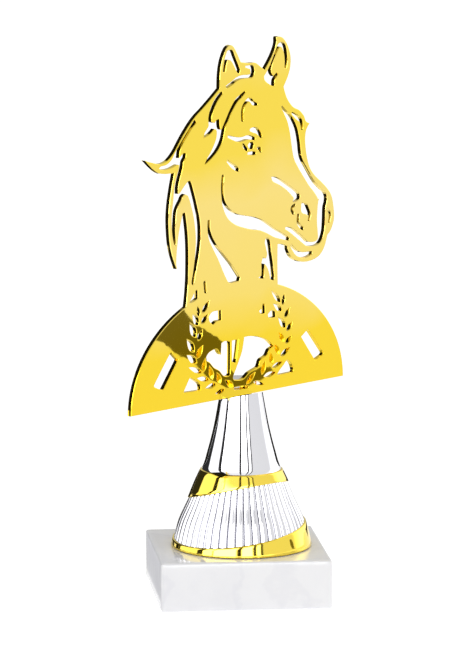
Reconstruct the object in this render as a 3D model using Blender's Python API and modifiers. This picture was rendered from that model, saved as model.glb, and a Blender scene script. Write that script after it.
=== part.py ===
# Horse-head trophy: a flat pierced figure plate on a moulded riser and a square stone base.
# Metres, +Z up. The origin is the middle of the base's underside and the front is -Y.
# The figure plate is drawn flat in millimetres and cut from a sheet, as its maker would draw it.

import math

import bmesh
import bpy
from mathutils import Matrix, Vector

MM = 0.001

# Square stone base
BASE_WIDTH = 70 * MM
BASE_DEPTH = 70 * MM
BASE_HEIGHT = 20 * MM
BASE_EDGE = 0.9 * MM

# Riser: a turned form with a reeded middle between two smooth raised bands.
# It stands a little to the right of the base's middle.
RISER_HEIGHT = 62.3 * MM
RISER_ASIDE = 1.5 * MM
FOOT_RADIUS = 29.2 * MM
TOP_RADIUS = 9.1 * MM
RIB_COUNT = 48
RIB_DEPTH = 0.9 * MM
BAND_LIP = 0.6 * MM
LIP_SLOPE = 0.35 * MM
UPPER_BAND_TOP = 32.2 * MM
UPPER_EDGE_MIDDLE = 24.2 * MM
UPPER_EDGE_SWING = 5.5 * MM
UPPER_EDGE_HIGH_SIDE = math.radians(-56)
FOOT_EDGE_MIDDLE = 7.5 * MM
FOOT_EDGE_SWING = 4.5 * MM
FOOT_EDGE_HIGH_SIDE = math.radians(24)
COLLAR_RADIUS = 12 * MM
COLLAR_HEIGHT = 6.5 * MM
COLLAR_FLARE = 2.4 * MM

# Figure plate
PLATE_WIDTH = 128.5 * MM
PLATE_HEIGHT = 146.8 * MM
PLATE_THICKNESS = 2.2 * MM
PLATE_TURN = math.radians(41)

# Fits
FACE_GAP = 0.3 * MM
CUT_MARGIN = 2 * MM

# The plate's drawing is made on a sheet of this size, in drawing millimetres
DRAWN_WIDTH = 128.5
DRAWN_HEIGHT = 146.8
DISC_HALF_WIDTH = DRAWN_WIDTH / 2
DISC_HEIGHT = 47.2
DISC_STEPS = 14
OUTLINE_STEPS = 2
STROKE_STEPS = 2

# Share of the riser's height, and how far the radius has come from foot to top
RISER_PROFILE = [
    (0.000, 0.000),
    (0.110, 0.080),
    (0.190, 0.160),
    (0.310, 0.335),
    (0.430, 0.475),
    (0.500, 0.560),
    (0.560, 0.700),
    (0.630, 0.778),
    (0.710, 0.835),
    (0.830, 0.915),
    (1.000, 1.000),
]

# Runs of the horse's outline, from the front of the neck round to its back.
# Each run is one smooth line, and two runs meet in a corner.
HORSE_RUNS = {
    "neck front": [(23.4, 44), (23.2, 52.9), (23.3, 60.5)],
    "throat": [(23.3, 60.5), (25.5, 60.3), (27.7, 59.7), (29.2, 58.9)],
    "chin": [
        (29.2, 58.9), (29.6, 57.1), (31.5, 54.3), (34.5, 52.5), (38.7, 51.4), (42.9, 51.3),
        (47.1, 52.1), (50.2, 53.8), (52.5, 56.8), (54.1, 61.1)],
    "muzzle": [
        (54.1, 61.1), (56.3, 63.1), (58.2, 67.4), (58, 72.1), (56.6, 77.5), (53.8, 81), (50.1, 84.1),
        (45.6, 87.6), (42.7, 91.3), (41, 96.1), (40.1, 101.9), (40.4, 105.5)],
    "brow point low": [(40.4, 105.5), (41.2, 107.2), (42.9, 109.1)],
    "brow": [
        (42.9, 109.1), (40.5, 110.3), (39.3, 112.6), (36.4, 115.2), (32.6, 116.9), (29.4, 120.1),
        (27.7, 123.2), (26.8, 125.7)],
    "far ear back": [
        (26.8, 125.7), (29.3, 129.6), (30.9, 133.9), (30.9, 138.4), (29.1, 142.8), (26.2, 146),
        (22.9, 146.8), (22.1, 146.2)],
    "far ear front": [(22.1, 146.2), (21.9, 143.4), (19.4, 138.9), (15.1, 133.7)],
    "poll": [(15.1, 133.7), (12.4, 135.4), (9.3, 137.1), (4.8, 137.3), (0.8, 138)],
    "near ear": [
        (0.8, 138), (-1.5, 141.9), (-3.7, 144.8), (-6, 145.4), (-8.4, 143.7), (-10.8, 138.7),
        (-11.8, 133.3), (-12, 128.3)],
    "crest": [
        (-12, 128.3), (-16.1, 125.2), (-21.7, 121.2), (-27.4, 117.3), (-33.1, 111.6), (-38.5, 105.1),
        (-41.8, 102.3), (-44.4, 101.2), (-47.6, 100.9), (-51.1, 101.7), (-55.8, 103)],
    "curl": [(-55.8, 103), (-53.7, 101), (-50.2, 98.3), (-47.4, 96.9), (-43.5, 96.3), (-38.7, 96.2)],
    "lock outside": [
        (-38.7, 96.2), (-40.5, 89.2), (-41.7, 83), (-42.1, 76.4), (-41.4, 68), (-39.8, 62.2),
        (-37.4, 56.9)],
    "lock inside": [(-37.4, 56.9), (-37.3, 62.7), (-36.1, 70.7), (-34.4, 76.9), (-33.7, 79.3)],
    "lock notch": [(-33.7, 79.3), (-32.3, 79.5)],
    "neck back": [(-32.3, 79.5), (-31, 71.3), (-30.5, 63.4), (-30.6, 53.5), (-31.2, 46.1), (-32, 41)],
}

# Cuts drawn as one brush stroke: (across, up, width) along the middle of the cut
STROKES = {
    "nose bridge and mouth": [
        (25.7, 117.5, 0.6), (28.1, 114.6, 1.7), (30.7, 111.5, 3.2), (33, 106.6, 4.6),
        (34.2, 101.6, 5), (35.2, 96.6, 4.6), (36.8, 93.3, 3.8), (39.8, 89.3, 3.6), (43.8, 84.3, 3.3),
        (46.3, 81.8, 3.1), (49, 79.2, 3.8), (51, 76.8, 5.2), (50.3, 73.1, 4.7), (50, 67.8, 4.8),
        (50, 63.2, 3.9), (49.1, 59.8, 2.2), (46.6, 58.4, 1.5), (41.8, 58.7, 1.6), (38.7, 60.7, 2),
        (34.5, 63.6, 2), (31.3, 65.6, 1.8), (28.3, 66.7, 0.8)],
    "jaw": [
        (-10, 92.2, 1.1), (-10.4, 87.9, 1.2), (-10, 83.4, 1.3), (-8.8, 79.8, 2.1), (-5.9, 76.1, 3.4),
        (-1.8, 73.6, 4.2), (3.2, 72.1, 4.7), (8.7, 70.8, 5), (13.1, 69.6, 4.2), (17.4, 67.6, 3.5),
        (21.7, 65.3, 3), (26, 63.6, 2.2), (29.6, 62.1, 1.2)],
    "nostril": [
        (38.5, 75.5, 1.5), (39.6, 74, 4.3), (41.5, 72.4, 2.7), (42.9, 70.8, 1.3), (42.3, 68.7, 0.9)],
    "nostril fold": [(33.6, 75.9, 0.9), (32.1, 75.1, 1.1), (31.8, 74, 1.2), (32.6, 72.5, 1.1)],
    "muzzle line": [(35.8, 71.4, 1.1), (35.6, 68.6, 1.2), (36.6, 67, 1.2), (38.4, 65.5, 1.3)],
    "upper lip": [(54.1, 71.8, 0.8), (55.3, 70.4, 1.1), (55.5, 68.6, 1.1), (54.9, 66.7, 0.9)],
    "lower lip": [
        (31.5, 59.2, 0.8), (32.9, 57.6, 1.4), (35, 55.7, 1.9), (37.6, 54.6, 2), (40.8, 54.3, 2),
        (43.8, 54.7, 1.3)],
    "brow line": [
        (32.1, 114.2, 0.8), (34.8, 112.4, 1.6), (37, 110.9, 1.5), (37.8, 109.2, 1.4), (38, 107.2, 0.9)],
    "front loop": [
        (1.7, 114, 1.1), (1.6, 117.4, 1.2), (2.5, 120, 1.1), (5, 122, 1.2), (6.7, 121.9, 1.4),
        (8.2, 120.5, 1.5), (10.2, 119.8, 1)],
    "poll hook": [
        (-7.6, 128.6, 1), (-4.5, 129.8, 1.1), (-1.7, 131.2, 1.2), (1.6, 131.8, 1.2), (5, 131.7, 1.2),
        (7.1, 131.9, 1.6), (7.8, 133.5, 2.2), (7.2, 135.2, 2), (5.7, 135.5, 1.1), (3.9, 135.8, 0.6)],
    "upper eyelid": [
        (-6.6, 108.1, 0.8), (-3.4, 107, 1.3), (-0.7, 106.3, 1.6), (1.9, 106.3, 1.5),
        (4.6, 106.7, 1.5), (6.9, 106.4, 1.4), (8.8, 105.8, 1.1)],
    "eye corner": [(2.1, 104, 1), (3.2, 102.7, 1.3), (4.2, 101.7, 1.1)],
    "lower eyelid": [(5.3, 100, 0.8), (7.2, 99.9, 1.3), (9.1, 99.8, 1.2)],
    "lid end": [(11.2, 101.8, 0.9), (12.1, 101.3, 1.3), (12.6, 100.3, 1)],
    "eyebrow": [
        (6.9, 109.6, 1.2), (8.7, 109.4, 2.1), (10.4, 108.9, 2.1), (11.8, 107.8, 1.8),
        (12.8, 106.4, 1.2)],
    "cheek fold": [(-7.1, 98, 0.9), (-4.5, 96, 1.6), (-2.3, 94.7, 1.7), (-1.1, 93.9, 1.3)],
    "chest dash": [(-20.9, 49.6, 1.2), (-20.4, 45.8, 1.2)],
    "bow": [(-2.9, 3.4, 0.9), (1, 3.3, 1.1), (4.8, 3.1, 0.9)],
}

# Cuts drawn as a closed shape
SHAPES = {
    "cheek": [
        (19.4, 88.9), (21.9, 88.6), (25.1, 87.2), (31.2, 83.6), (34.4, 81.7), (36.5, 80),
        (36.7, 78.4), (34.8, 77.5), (32.5, 77.3), (33.3, 78.9), (31.2, 80.8), (28.1, 83.2),
        (24.4, 85.3), (20.4, 87.1)],
    "pupil": [(5, 103.4), (6.1, 104.3), (7.8, 104.5), (8.6, 103.4), (7.9, 101.8), (6.2, 101.9)],
    "forelock": [
        (3.5, 125.5), (1.4, 123.7), (-1.4, 121.9), (-4.4, 118.5), (-6.7, 115), (-8.5, 112.3),
        (-9.2, 110), (-10, 107.4), (-11.5, 104.9), (-13.7, 102.5), (-17.1, 100), (-20.8, 98),
        (-19.4, 100), (-17.4, 102.2), (-15.5, 104.8), (-14, 107.4), (-13.4, 109.9), (-13.7, 111.7),
        (-15.1, 112.1), (-17.2, 110.6), (-19.2, 109.7), (-21.4, 109.1), (-20.4, 111.1),
        (-18.5, 113.1), (-18.3, 114.5), (-18.5, 116.7), (-17.7, 119.4), (-16.2, 122), (-14.2, 124.5),
        (-11.9, 126.3), (-10.4, 126.8), (-10.2, 125.9), (-12.1, 124.4), (-14, 122.2), (-15.6, 119.6),
        (-16.8, 117), (-16.8, 114.9), (-14.8, 114.3), (-13.5, 115.5), (-12.1, 115.6), (-12, 113.1),
        (-11.5, 111.5), (-10.7, 111.2), (-9.8, 112.7), (-8, 115.5), (-5.7, 119), (-2.5, 122.8),
        (0.6, 124.6), (2.9, 125.8)],
    "mane": [
        (-26.6, 116.6), (-25.8, 115.5), (-28.3, 113.7), (-30.8, 111), (-33.2, 108.4), (-35.3, 105.2),
        (-35.9, 101.9), (-34.3, 102.9), (-32.9, 103.9), (-31.8, 103.4), (-32.1, 102.1),
        (-33.3, 100.5), (-33.7, 98.5), (-34.5, 96.1), (-35.6, 93.4), (-36.5, 90.2), (-36.6, 87.5),
        (-35.4, 87.7), (-33.2, 89.8), (-30.7, 91.9), (-29.4, 92.1), (-28.4, 90.4), (-27.4, 87.7),
        (-26.2, 84.3), (-25.1, 80.7), (-24.1, 77.3), (-23.5, 74), (-23.3, 70.6), (-23.4, 67.1),
        (-23.9, 63.6), (-24.9, 59), (-26.6, 53.1), (-27.3, 50.4), (-28, 49.4), (-28.5, 50.6),
        (-27.7, 54.1), (-27, 57.6), (-26.4, 61.6), (-26, 65.5), (-26, 69.5), (-26.4, 72.9),
        (-27, 76.4), (-27.9, 79.8), (-29.2, 83.5), (-30, 85.4), (-30.8, 86.5), (-32.5, 87.2),
        (-33.8, 86.4), (-34.8, 84.8), (-36.3, 82.9), (-37.5, 80.6), (-37.9, 77.8), (-38.2, 74),
        (-38.1, 70.5), (-37.8, 67.8), (-38.2, 66.8), (-38.9, 67.8), (-39.6, 70.3), (-40, 73.5),
        (-40.1, 76.9), (-39.9, 80.4), (-39.4, 83.3), (-39, 86.3), (-38.6, 89.8), (-37.9, 92.7),
        (-36.8, 95.5), (-35.9, 97.7), (-35.6, 99.3), (-36.9, 99.6), (-38.5, 99.2), (-40.6, 98.6),
        (-43.5, 98.3), (-46.2, 98.5), (-47.3, 99), (-46.2, 99.6), (-43.9, 99.8), (-42, 100.4),
        (-39.9, 101.9), (-38.1, 104.3), (-35.9, 106.9), (-33.1, 110), (-30.9, 112.3), (-28.8, 114.5),
        (-27.3, 116.2)],
    "shoulder": [
        (-18.9, 74.9), (-17.8, 74.9), (-17.7, 71.5), (-16.6, 68.4), (-14.1, 64.7), (-9.6, 60),
        (-4.7, 55.1), (0.3, 49.2), (-0.2, 48.1), (-4.7, 47.8), (-6.7, 48.4), (-9.4, 52.5),
        (-12.7, 58.4), (-16.1, 63.6), (-18.2, 67.2), (-19, 71.2)],
    "neck front": [
        (16.2, 64), (17.8, 63.4), (18.7, 61.3), (19.3, 57.8), (20.1, 53.8), (20.7, 50.3), (21, 46.7),
        (20.2, 45.9), (18.7, 46.6), (18.3, 48.7), (17.4, 50.9), (16.2, 52.7), (15.1, 53.4),
        (14.9, 50.6), (14.7, 48), (14.2, 47.3), (11.6, 47.8), (13.3, 48.5), (13.5, 50.6),
        (13.4, 53.6), (14.3, 55.9), (16.2, 55.3), (16.9, 57.1), (16.2, 59.7), (15.5, 62.2)],
    "near ear hollow": [
        (-7.3, 143), (-5.5, 143.4), (-4.1, 142.9), (-2.6, 140.1), (-1.1, 137.4), (0.3, 134.7),
        (-0.2, 133.5), (-1.5, 134.1), (-3.1, 136.7), (-5.2, 139.2), (-7.2, 139.5), (-7.9, 137.8),
        (-8.6, 134.7), (-9.8, 134.9), (-9.4, 137.3), (-8.7, 140.1)],
    "far ear hollow": [
        (14.9, 130.9), (17.2, 133.5), (19.2, 136.5), (21.3, 140), (22.6, 142.3), (23.6, 143.6),
        (25.4, 144.1), (27.1, 143.4), (28.2, 141.5), (28.8, 138.5), (28.8, 135.5), (28.2, 133.3),
        (27.3, 133.4), (27.4, 135.9), (27.1, 138.9), (26.3, 141.1), (25.4, 142.3), (24.1, 142.4),
        (23.2, 141.3), (21.5, 138.9), (19.8, 135.9), (19, 133.7), (19.1, 132), (20.4, 130.4),
        (22.4, 131.8), (23.2, 131.2), (21.2, 129.1), (20.9, 126.7), (19.9, 126.6), (18.1, 127.5),
        (16.2, 128.6), (15.1, 129.8)],
    "left of throat": [
        (-29.8, 42.4), (-28.1, 44.3), (-26.4, 46.6), (-25.1, 47), (-25.1, 43.7), (-27.4, 42.7)],
    "heart": [
        (-18.3, 35.2), (-16.1, 36.9), (-11.1, 37), (-11, 33), (-13.6, 33), (-15.9, 31.7),
        (-17.8, 33.3)],
    "small right": [(12.1, 34), (13.6, 34.8), (14.2, 36.7), (15.2, 36.5), (15.4, 32.7), (12.8, 32.8)],
    "far right": [(17.4, 32), (19.4, 33.4), (21.7, 32.4), (21.9, 30.5), (19.1, 30.4), (17.6, 30.8)],
    "left slot": [
        (-50.6, 11.1), (-41.6, 22.4), (-40.4, 22.7), (-37.2, 19.8), (-37.3, 19.1), (-45.4, 8.8),
        (-46.5, 8.8), (-50.2, 10.3)],
    "right slot": [
        (38, 20), (41.6, 22.4), (42.8, 21.7), (51.4, 11.6), (50.9, 10.9), (46.8, 9.3), (45.8, 10.1)],
    "left corner": [(-29.7, 11.4), (-28.7, 11), (-24.1, 8.2), (-23.4, 5.6), (-33.3, 5.9)],
    "right corner": [
        (23.4, 6.3), (25, 7.9), (27.1, 9.5), (28.8, 11.2), (29.6, 11.1), (31.7, 9.5), (32.9, 6.9),
        (32.6, 6), (24.2, 5.9)],
    "right field": [
        (3, 24.1), (6.1, 24.1), (10.1, 23.5), (14.3, 22.3), (17.8, 20.6), (20.6, 18.2), (18, 17.2),
        (16.8, 15.4), (15.4, 14.6), (12.7, 13.6), (11.4, 11), (9.2, 10.2), (5.5, 9), (2.8, 7.2),
        (0.4, 6.8), (-3.2, 7.3), (-3.6, 8.6), (-1.1, 13.1), (1.7, 18.5)],
    "wedge": [(-4.4, 23.5), (-0.6, 23.7), (-1.1, 20.1), (-2.1, 15.1), (-2.9, 14.4), (-4.4, 15)],
    "left field": [
        (-19.8, 18.8), (-18.2, 20.3), (-15.2, 21.2), (-13.5, 21), (-12.2, 19.3), (-11.1, 18.5),
        (-10.7, 23.3), (-8.5, 23.9), (-6.3, 23.3), (-5.6, 22.1), (-5.7, 10), (-6.9, 9.3), (-9.6, 9.9),
        (-12.1, 12.3), (-15.2, 13.9), (-17.7, 16.3), (-19.5, 17.2)],
}

# Laurel leaves, each a pointed cut: root, tip and greatest width
LEAVES = [
    (-26.2, 27.9, -29.6, 33.9, 3.2),
    (-27.3, 22, -31.3, 27.3, 2.9),
    (-25.8, 17.2, -31.2, 20.8, 2.7),
    (-22.8, 12.8, -30.1, 15.7, 1.9),
    (-18.6, 9.3, -25.2, 10.6, 1.8),
    (-14.3, 6.9, -20.4, 5.9, 1.7),
    (-9.2, 3.9, -14.5, 2.8, 1.5),
    (-24.6, 32.7, -27.9, 37.3, 2.9),
    (-24.3, 36.2, -25, 40.2, 1.7),
    (-22.4, 37.3, -18, 41.9, 2),
    (-22.9, 32.9, -18.9, 36.3, 1.9),
    (-24.9, 26.4, -22.4, 30.2, 2.2),
    (-25.6, 19.2, -22.3, 23.6, 2.5),
    (-21.9, 12.9, -20.8, 18, 2.2),
    (-16.3, 9.3, -18.1, 14.5, 2.3),
    (-11.6, 7, -13.6, 11.2, 2.3),
    (-4, 4.5, -8.4, 7.5, 2.1),
    (27.5, 29.5, 30.7, 33.2, 1.8),
    (28.8, 23.7, 32.2, 26.9, 1.9),
    (28.1, 18.5, 31.6, 21.1, 1.6),
    (25.1, 13.5, 30.5, 16.4, 1.9),
    (20, 9.4, 26, 11, 1.5),
    (15, 6.3, 22, 7.1, 1.9),
    (8.8, 4.7, 14.6, 3, 1.5),
    (26.3, 35, 27.3, 39.3, 1.7),
    (25, 36.2, 19.5, 41.4, 2),
    (25.7, 32.5, 20.8, 35.8, 2.1),
    (28.1, 25.2, 23.8, 29.7, 2.5),
    (27, 19.6, 24.1, 23.4, 2.1),
    (24.2, 14.6, 21.5, 18.7, 2.2),
    (19.6, 10.8, 19, 15.6, 2.2),
    (13.6, 7.5, 15.5, 12.5, 2.2),
    (4.4, 4.7, 9.2, 8.5, 2),
]
LEAF_SECTIONS = [(0.16, 0.62), (0.42, 1), (0.7, 0.78)]


def clear_scene():
    for scene_object in list(bpy.data.objects):
        bpy.data.objects.remove(scene_object, do_unlink=True)


def new_collection(name):
    collection = bpy.data.collections.new(name)
    bpy.context.scene.collection.children.link(collection)
    return collection


def principled(name, colour, roughness, metallic):
    material = bpy.data.materials.new(name)
    material.use_nodes = True
    shader = material.node_tree.nodes["Principled BSDF"]
    shader.inputs["Base Color"].default_value = (*colour, 1)
    shader.inputs["Roughness"].default_value = roughness
    shader.inputs["Metallic"].default_value = metallic
    return material


def smooth_run(points, steps):
    """Catmull-Rom line through the points, with its own end points repeated."""
    line = []
    padded = [points[0]] + list(points) + [points[-1]]
    for before, start, end, after in zip(padded, padded[1:], padded[2:], padded[3:]):
        for step in range(steps):
            t = step / steps
            line.append(tuple(
                0.5 * (2 * b + (c - a) * t + (2 * a - 5 * b + 4 * c - d) * t ** 2
                       + (3 * b - a - 3 * c + d) * t ** 3)
                for a, b, c, d in zip(before, start, end, after)))
    line.append(tuple(points[-1]))
    return line


def disc_edge(first_angle, last_angle):
    span = last_angle - first_angle
    angles = [first_angle + span * step / DISC_STEPS for step in range(DISC_STEPS + 1)]
    return [(DISC_HALF_WIDTH * math.cos(angle), DISC_HEIGHT * math.sin(angle)) for angle in angles]


def plate_outline():
    """Half disc with the horse's head and neck rising from it, right end first."""
    neck_front_foot = HORSE_RUNS["neck front"][0][0]
    neck_back_foot = HORSE_RUNS["neck back"][-1][0]
    outline = disc_edge(0, math.acos(neck_front_foot / DISC_HALF_WIDTH))
    for run in HORSE_RUNS.values():
        outline += smooth_run(run, OUTLINE_STEPS)[1:]
    outline += disc_edge(math.acos(neck_back_foot / DISC_HALF_WIDTH), math.pi)[1:]
    return outline


def stroke_shape(stroke):
    """Outline of a brush stroke, with a short point at each end."""
    line = smooth_run(stroke, STROKE_STEPS)
    left_side = []
    right_side = []
    for index, (across, up, width) in enumerate(line):
        before = line[max(index - 1, 0)]
        after = line[min(index + 1, len(line) - 1)]
        along = Vector((after[0] - before[0], after[1] - before[1])).normalized()
        side = Vector((-along.y, along.x)) * width / 2
        middle = Vector((across, up))
        if index == 0:
            start_point = middle - along * width / 2
        left_side.append(middle + side)
        right_side.append(middle - side)
    end_point = middle + along * width / 2
    shape = [start_point] + left_side + [end_point] + right_side[::-1]
    return [tuple(point) for point in shape]


def leaf_shape(leaf):
    root = Vector(leaf[0:2])
    tip = Vector(leaf[2:4])
    along = tip - root
    side = Vector((-along.y, along.x)).normalized() * leaf[4] / 2
    one_side = [root + along * share + side * fullness for share, fullness in LEAF_SECTIONS]
    other_side = [root + along * share - side * fullness for share, fullness in LEAF_SECTIONS]
    return [tuple(point) for point in [root] + one_side + [tip] + other_side[::-1]]


def plate_loops():
    loops = [plate_outline()]
    loops += [stroke_shape(stroke) for stroke in STROKES.values()]
    loops += list(SHAPES.values())
    loops += [leaf_shape(leaf) for leaf in LEAVES]
    return loops


def add_drawn_loop(curve, loop):
    across_scale = PLATE_WIDTH / DRAWN_WIDTH
    up_scale = PLATE_HEIGHT / DRAWN_HEIGHT
    spline = curve.splines.new("POLY")
    spline.points.add(len(loop) - 1)
    for point, (across, up) in zip(spline.points, loop):
        point.co = (across * across_scale, up * up_scale, 0, 1)
    spline.use_cyclic_u = True


def mesh_from_curve(curve_object, collection):
    """Weld the flat caps of a filled curve to its walls and swap it for a mesh."""
    bpy.context.view_layer.update()
    evaluated = curve_object.evaluated_get(bpy.context.evaluated_depsgraph_get())
    mesh = bpy.data.meshes.new_from_object(evaluated)
    welded = bmesh.new()
    welded.from_mesh(mesh)
    bmesh.ops.remove_doubles(welded, verts=welded.verts, dist=0.001 * MM)
    bmesh.ops.recalc_face_normals(welded, faces=welded.faces)
    welded.to_mesh(mesh)
    welded.free()
    name = curve_object.name
    placing = curve_object.matrix_world.copy()
    bpy.data.objects.remove(curve_object, do_unlink=True)
    mesh_object = bpy.data.objects.new(name, mesh)
    collection.objects.link(mesh_object)
    mesh_object.matrix_world = placing
    return mesh_object


def make_figure_plate(collection, material):
    curve = bpy.data.curves.new("figure_plate", "CURVE")
    curve.dimensions = "2D"
    curve.fill_mode = "BOTH"
    curve.extrude = PLATE_THICKNESS / 2
    for loop in plate_loops():
        add_drawn_loop(curve, loop)
    drawing = bpy.data.objects.new("figure_plate", curve)
    collection.objects.link(drawing)
    drawing.location = (0, 0, BASE_HEIGHT + FACE_GAP + RISER_HEIGHT)
    drawing.rotation_euler = (math.pi / 2, 0, PLATE_TURN)
    plate = mesh_from_curve(drawing, collection)
    plate.data.materials.append(material)
    return plate


def riser_radius(height):
    """Radius of the plain turned form, straight between the profile's points."""
    share = height / RISER_HEIGHT
    for (low, low_fall), (high, high_fall) in zip(RISER_PROFILE, RISER_PROFILE[1:]):
        if share <= high:
            fall = low_fall + (high_fall - low_fall) * (share - low) / (high - low)
            return FOOT_RADIUS + (TOP_RADIUS - FOOT_RADIUS) * fall
    return TOP_RADIUS


def foot_edge(angle):
    return FOOT_EDGE_MIDDLE + FOOT_EDGE_SWING * math.cos(angle - FOOT_EDGE_HIGH_SIDE)


def upper_edge(angle):
    return UPPER_EDGE_MIDDLE + UPPER_EDGE_SWING * math.cos(angle - UPPER_EDGE_HIGH_SIDE)


def riser_column(angle, in_valley):
    """Heights and radii of one upright line of the riser, from the foot to the collar."""
    column = [(0, FOOT_RADIUS)]
    foot_top = foot_edge(angle)
    reed_bottom = foot_top + LIP_SLOPE
    band_bottom = upper_edge(angle)
    reed_top = band_bottom - LIP_SLOPE
    for share in (0.5, 1):
        column.append((foot_top * share, riser_radius(foot_top * share)))
    sunk = BAND_LIP + RIB_DEPTH * in_valley
    for share in (0, 0.2, 0.4, 0.6, 0.8, 1):
        height = reed_bottom + (reed_top - reed_bottom) * share
        column.append((height, riser_radius(height) - sunk))
    for share in (0, 0.5, 1):
        height = band_bottom + (UPPER_BAND_TOP - band_bottom) * share
        column.append((height, riser_radius(height)))
    neck_bottom = UPPER_BAND_TOP + LIP_SLOPE
    for share in (0, 0.08, 0.2, 0.4, 0.65, 1):
        height = neck_bottom + (RISER_HEIGHT - neck_bottom) * share
        column.append((height, riser_radius(height) - BAND_LIP * (1 - share)))
    column.append((RISER_HEIGHT + COLLAR_FLARE, COLLAR_RADIUS))
    column.append((RISER_HEIGHT + COLLAR_HEIGHT, COLLAR_RADIUS))
    return column


def make_riser(collection, cutters, material):
    mesh_data = bmesh.new()
    columns = []
    column_count = 2 * RIB_COUNT
    for number in range(column_count):
        angle = 2 * math.pi * number / column_count
        column = []
        for height, radius in riser_column(angle, number % 2):
            place = (radius * math.cos(angle), radius * math.sin(angle), height)
            column.append(mesh_data.verts.new(place))
        columns.append(column)
    for column, next_column in zip(columns, columns[1:] + columns[:1]):
        for row in range(len(column) - 1):
            mesh_data.faces.new((column[row], next_column[row], next_column[row + 1], column[row + 1]))
    mesh_data.faces.new([column[0] for column in reversed(columns)])
    mesh_data.faces.new([column[-1] for column in columns])
    mesh = bpy.data.meshes.new("riser")
    mesh_data.to_mesh(mesh)
    mesh_data.free()
    riser = bpy.data.objects.new("riser", mesh)
    collection.objects.link(riser)
    riser.location = (RISER_ASIDE, 0, BASE_HEIGHT + FACE_GAP)
    riser.data.materials.append(material)
    cut = riser.modifiers.new("seat for the plate", "BOOLEAN")
    cut.operation = "DIFFERENCE"
    cut.solver = "EXACT"
    cut.object = make_seat_cutter(cutters)
    return riser


def make_seat_cutter(cutters):
    """Box that clears the front half of the riser's top, where the plate stands."""
    width = 2 * (COLLAR_RADIUS + RISER_ASIDE + CUT_MARGIN)
    depth = COLLAR_RADIUS + RISER_ASIDE + PLATE_THICKNESS + CUT_MARGIN
    height = COLLAR_HEIGHT + FACE_GAP + CUT_MARGIN
    bpy.ops.mesh.primitive_cube_add(size=1)
    cutter = bpy.context.object
    cutter.name = "seat_cutter"
    cutter.data.transform(diagonal(width, depth, height))
    back_face = PLATE_THICKNESS / 2 + FACE_GAP
    bottom = BASE_HEIGHT + RISER_HEIGHT
    forward = back_face - depth / 2
    cutter.location = (-forward * math.sin(PLATE_TURN), forward * math.cos(PLATE_TURN),
                       bottom + height / 2)
    cutter.rotation_euler.z = PLATE_TURN
    cutter.hide_render = True
    cutter.display_type = "WIRE"
    move_to(cutter, cutters)
    return cutter


def diagonal(across, along, up):
    return Matrix.Diagonal((across, along, up, 1))


def move_to(scene_object, collection):
    for other in list(scene_object.users_collection):
        other.objects.unlink(scene_object)
    collection.objects.link(scene_object)


def make_base(collection, material):
    bpy.ops.mesh.primitive_cube_add(size=1)
    base = bpy.context.object
    base.name = "stone_base"
    base.data.transform(diagonal(BASE_WIDTH, BASE_DEPTH, BASE_HEIGHT))
    base.location.z = BASE_HEIGHT / 2
    edges = base.modifiers.new("softened edges", "BEVEL")
    edges.width = BASE_EDGE
    edges.segments = 2
    move_to(base, collection)
    base.data.materials.append(material)
    return base


def main():
    clear_scene()
    trophy = new_collection("horse_trophy")
    cutters = new_collection("cutters")
    gold = principled("gold plated plastic", (0.93, 0.73, 0.18), 0.12, 1)
    silver = principled("silver plated plastic", (0.82, 0.82, 0.86), 0.1, 1)
    stone = principled("white marble", (0.84, 0.84, 0.86), 0.25, 0)
    make_base(trophy, stone)
    make_riser(trophy, cutters, silver)
    make_figure_plate(trophy, gold)


main()
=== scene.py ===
# Looks for the horse-head trophy: marble block, plated riser and pierced gold plate
# Metres, +Z up, the front of the marble block faces -Y
import math

import bmesh
import bpy
from mathutils import Matrix, Vector, geometry, noise


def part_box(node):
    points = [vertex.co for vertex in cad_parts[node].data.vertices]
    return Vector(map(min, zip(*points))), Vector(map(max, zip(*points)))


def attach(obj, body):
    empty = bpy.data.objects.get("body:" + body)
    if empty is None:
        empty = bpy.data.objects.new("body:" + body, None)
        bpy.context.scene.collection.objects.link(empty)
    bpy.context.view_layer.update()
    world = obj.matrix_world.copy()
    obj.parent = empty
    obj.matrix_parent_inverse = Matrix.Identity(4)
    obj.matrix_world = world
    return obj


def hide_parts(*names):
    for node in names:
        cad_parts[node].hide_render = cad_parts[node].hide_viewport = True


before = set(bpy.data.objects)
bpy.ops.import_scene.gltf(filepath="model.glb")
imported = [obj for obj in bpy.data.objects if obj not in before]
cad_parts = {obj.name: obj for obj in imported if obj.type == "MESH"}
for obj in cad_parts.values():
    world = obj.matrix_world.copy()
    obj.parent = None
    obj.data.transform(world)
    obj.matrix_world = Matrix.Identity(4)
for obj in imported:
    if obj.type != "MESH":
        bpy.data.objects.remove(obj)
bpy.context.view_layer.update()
print("frame loaded:", sorted(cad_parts))

mm = 0.001
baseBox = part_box("stone_base")
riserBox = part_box("riser")
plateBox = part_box("figure_plate")


# Small helpers

def dressed(name, mesh, node):
    # one piece of the trophy, standing for its CAD node
    piece = bpy.data.objects.new(name, mesh)
    bpy.context.scene.collection.objects.link(piece)
    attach(piece, "root")
    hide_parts(node)
    return piece


def staged(name, mesh):
    # studio furniture, not part of the trophy
    thing = bpy.data.objects.new(name, mesh)
    bpy.context.scene.collection.objects.link(thing)
    return thing


def newMaterial(name):
    material = bpy.data.materials.new(name)
    material.use_nodes = True
    nodes = material.node_tree.nodes
    return material, nodes, material.node_tree.links, nodes["Principled BSDF"]


def ramp(nodes, stops):
    # colour ramp from (position, colour or grey) pairs
    node = nodes.new("ShaderNodeValToRGB")
    elements = node.color_ramp.elements
    while len(elements) > 1:
        elements.remove(elements[-1])
    for index, (position, colour) in enumerate(stops):
        element = elements[0] if index == 0 else elements.new(position)
        element.position = position
        grey = isinstance(colour, (int, float))
        element.color = (colour, colour, colour, 1) if grey else (*colour, 1)
    return node


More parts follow.
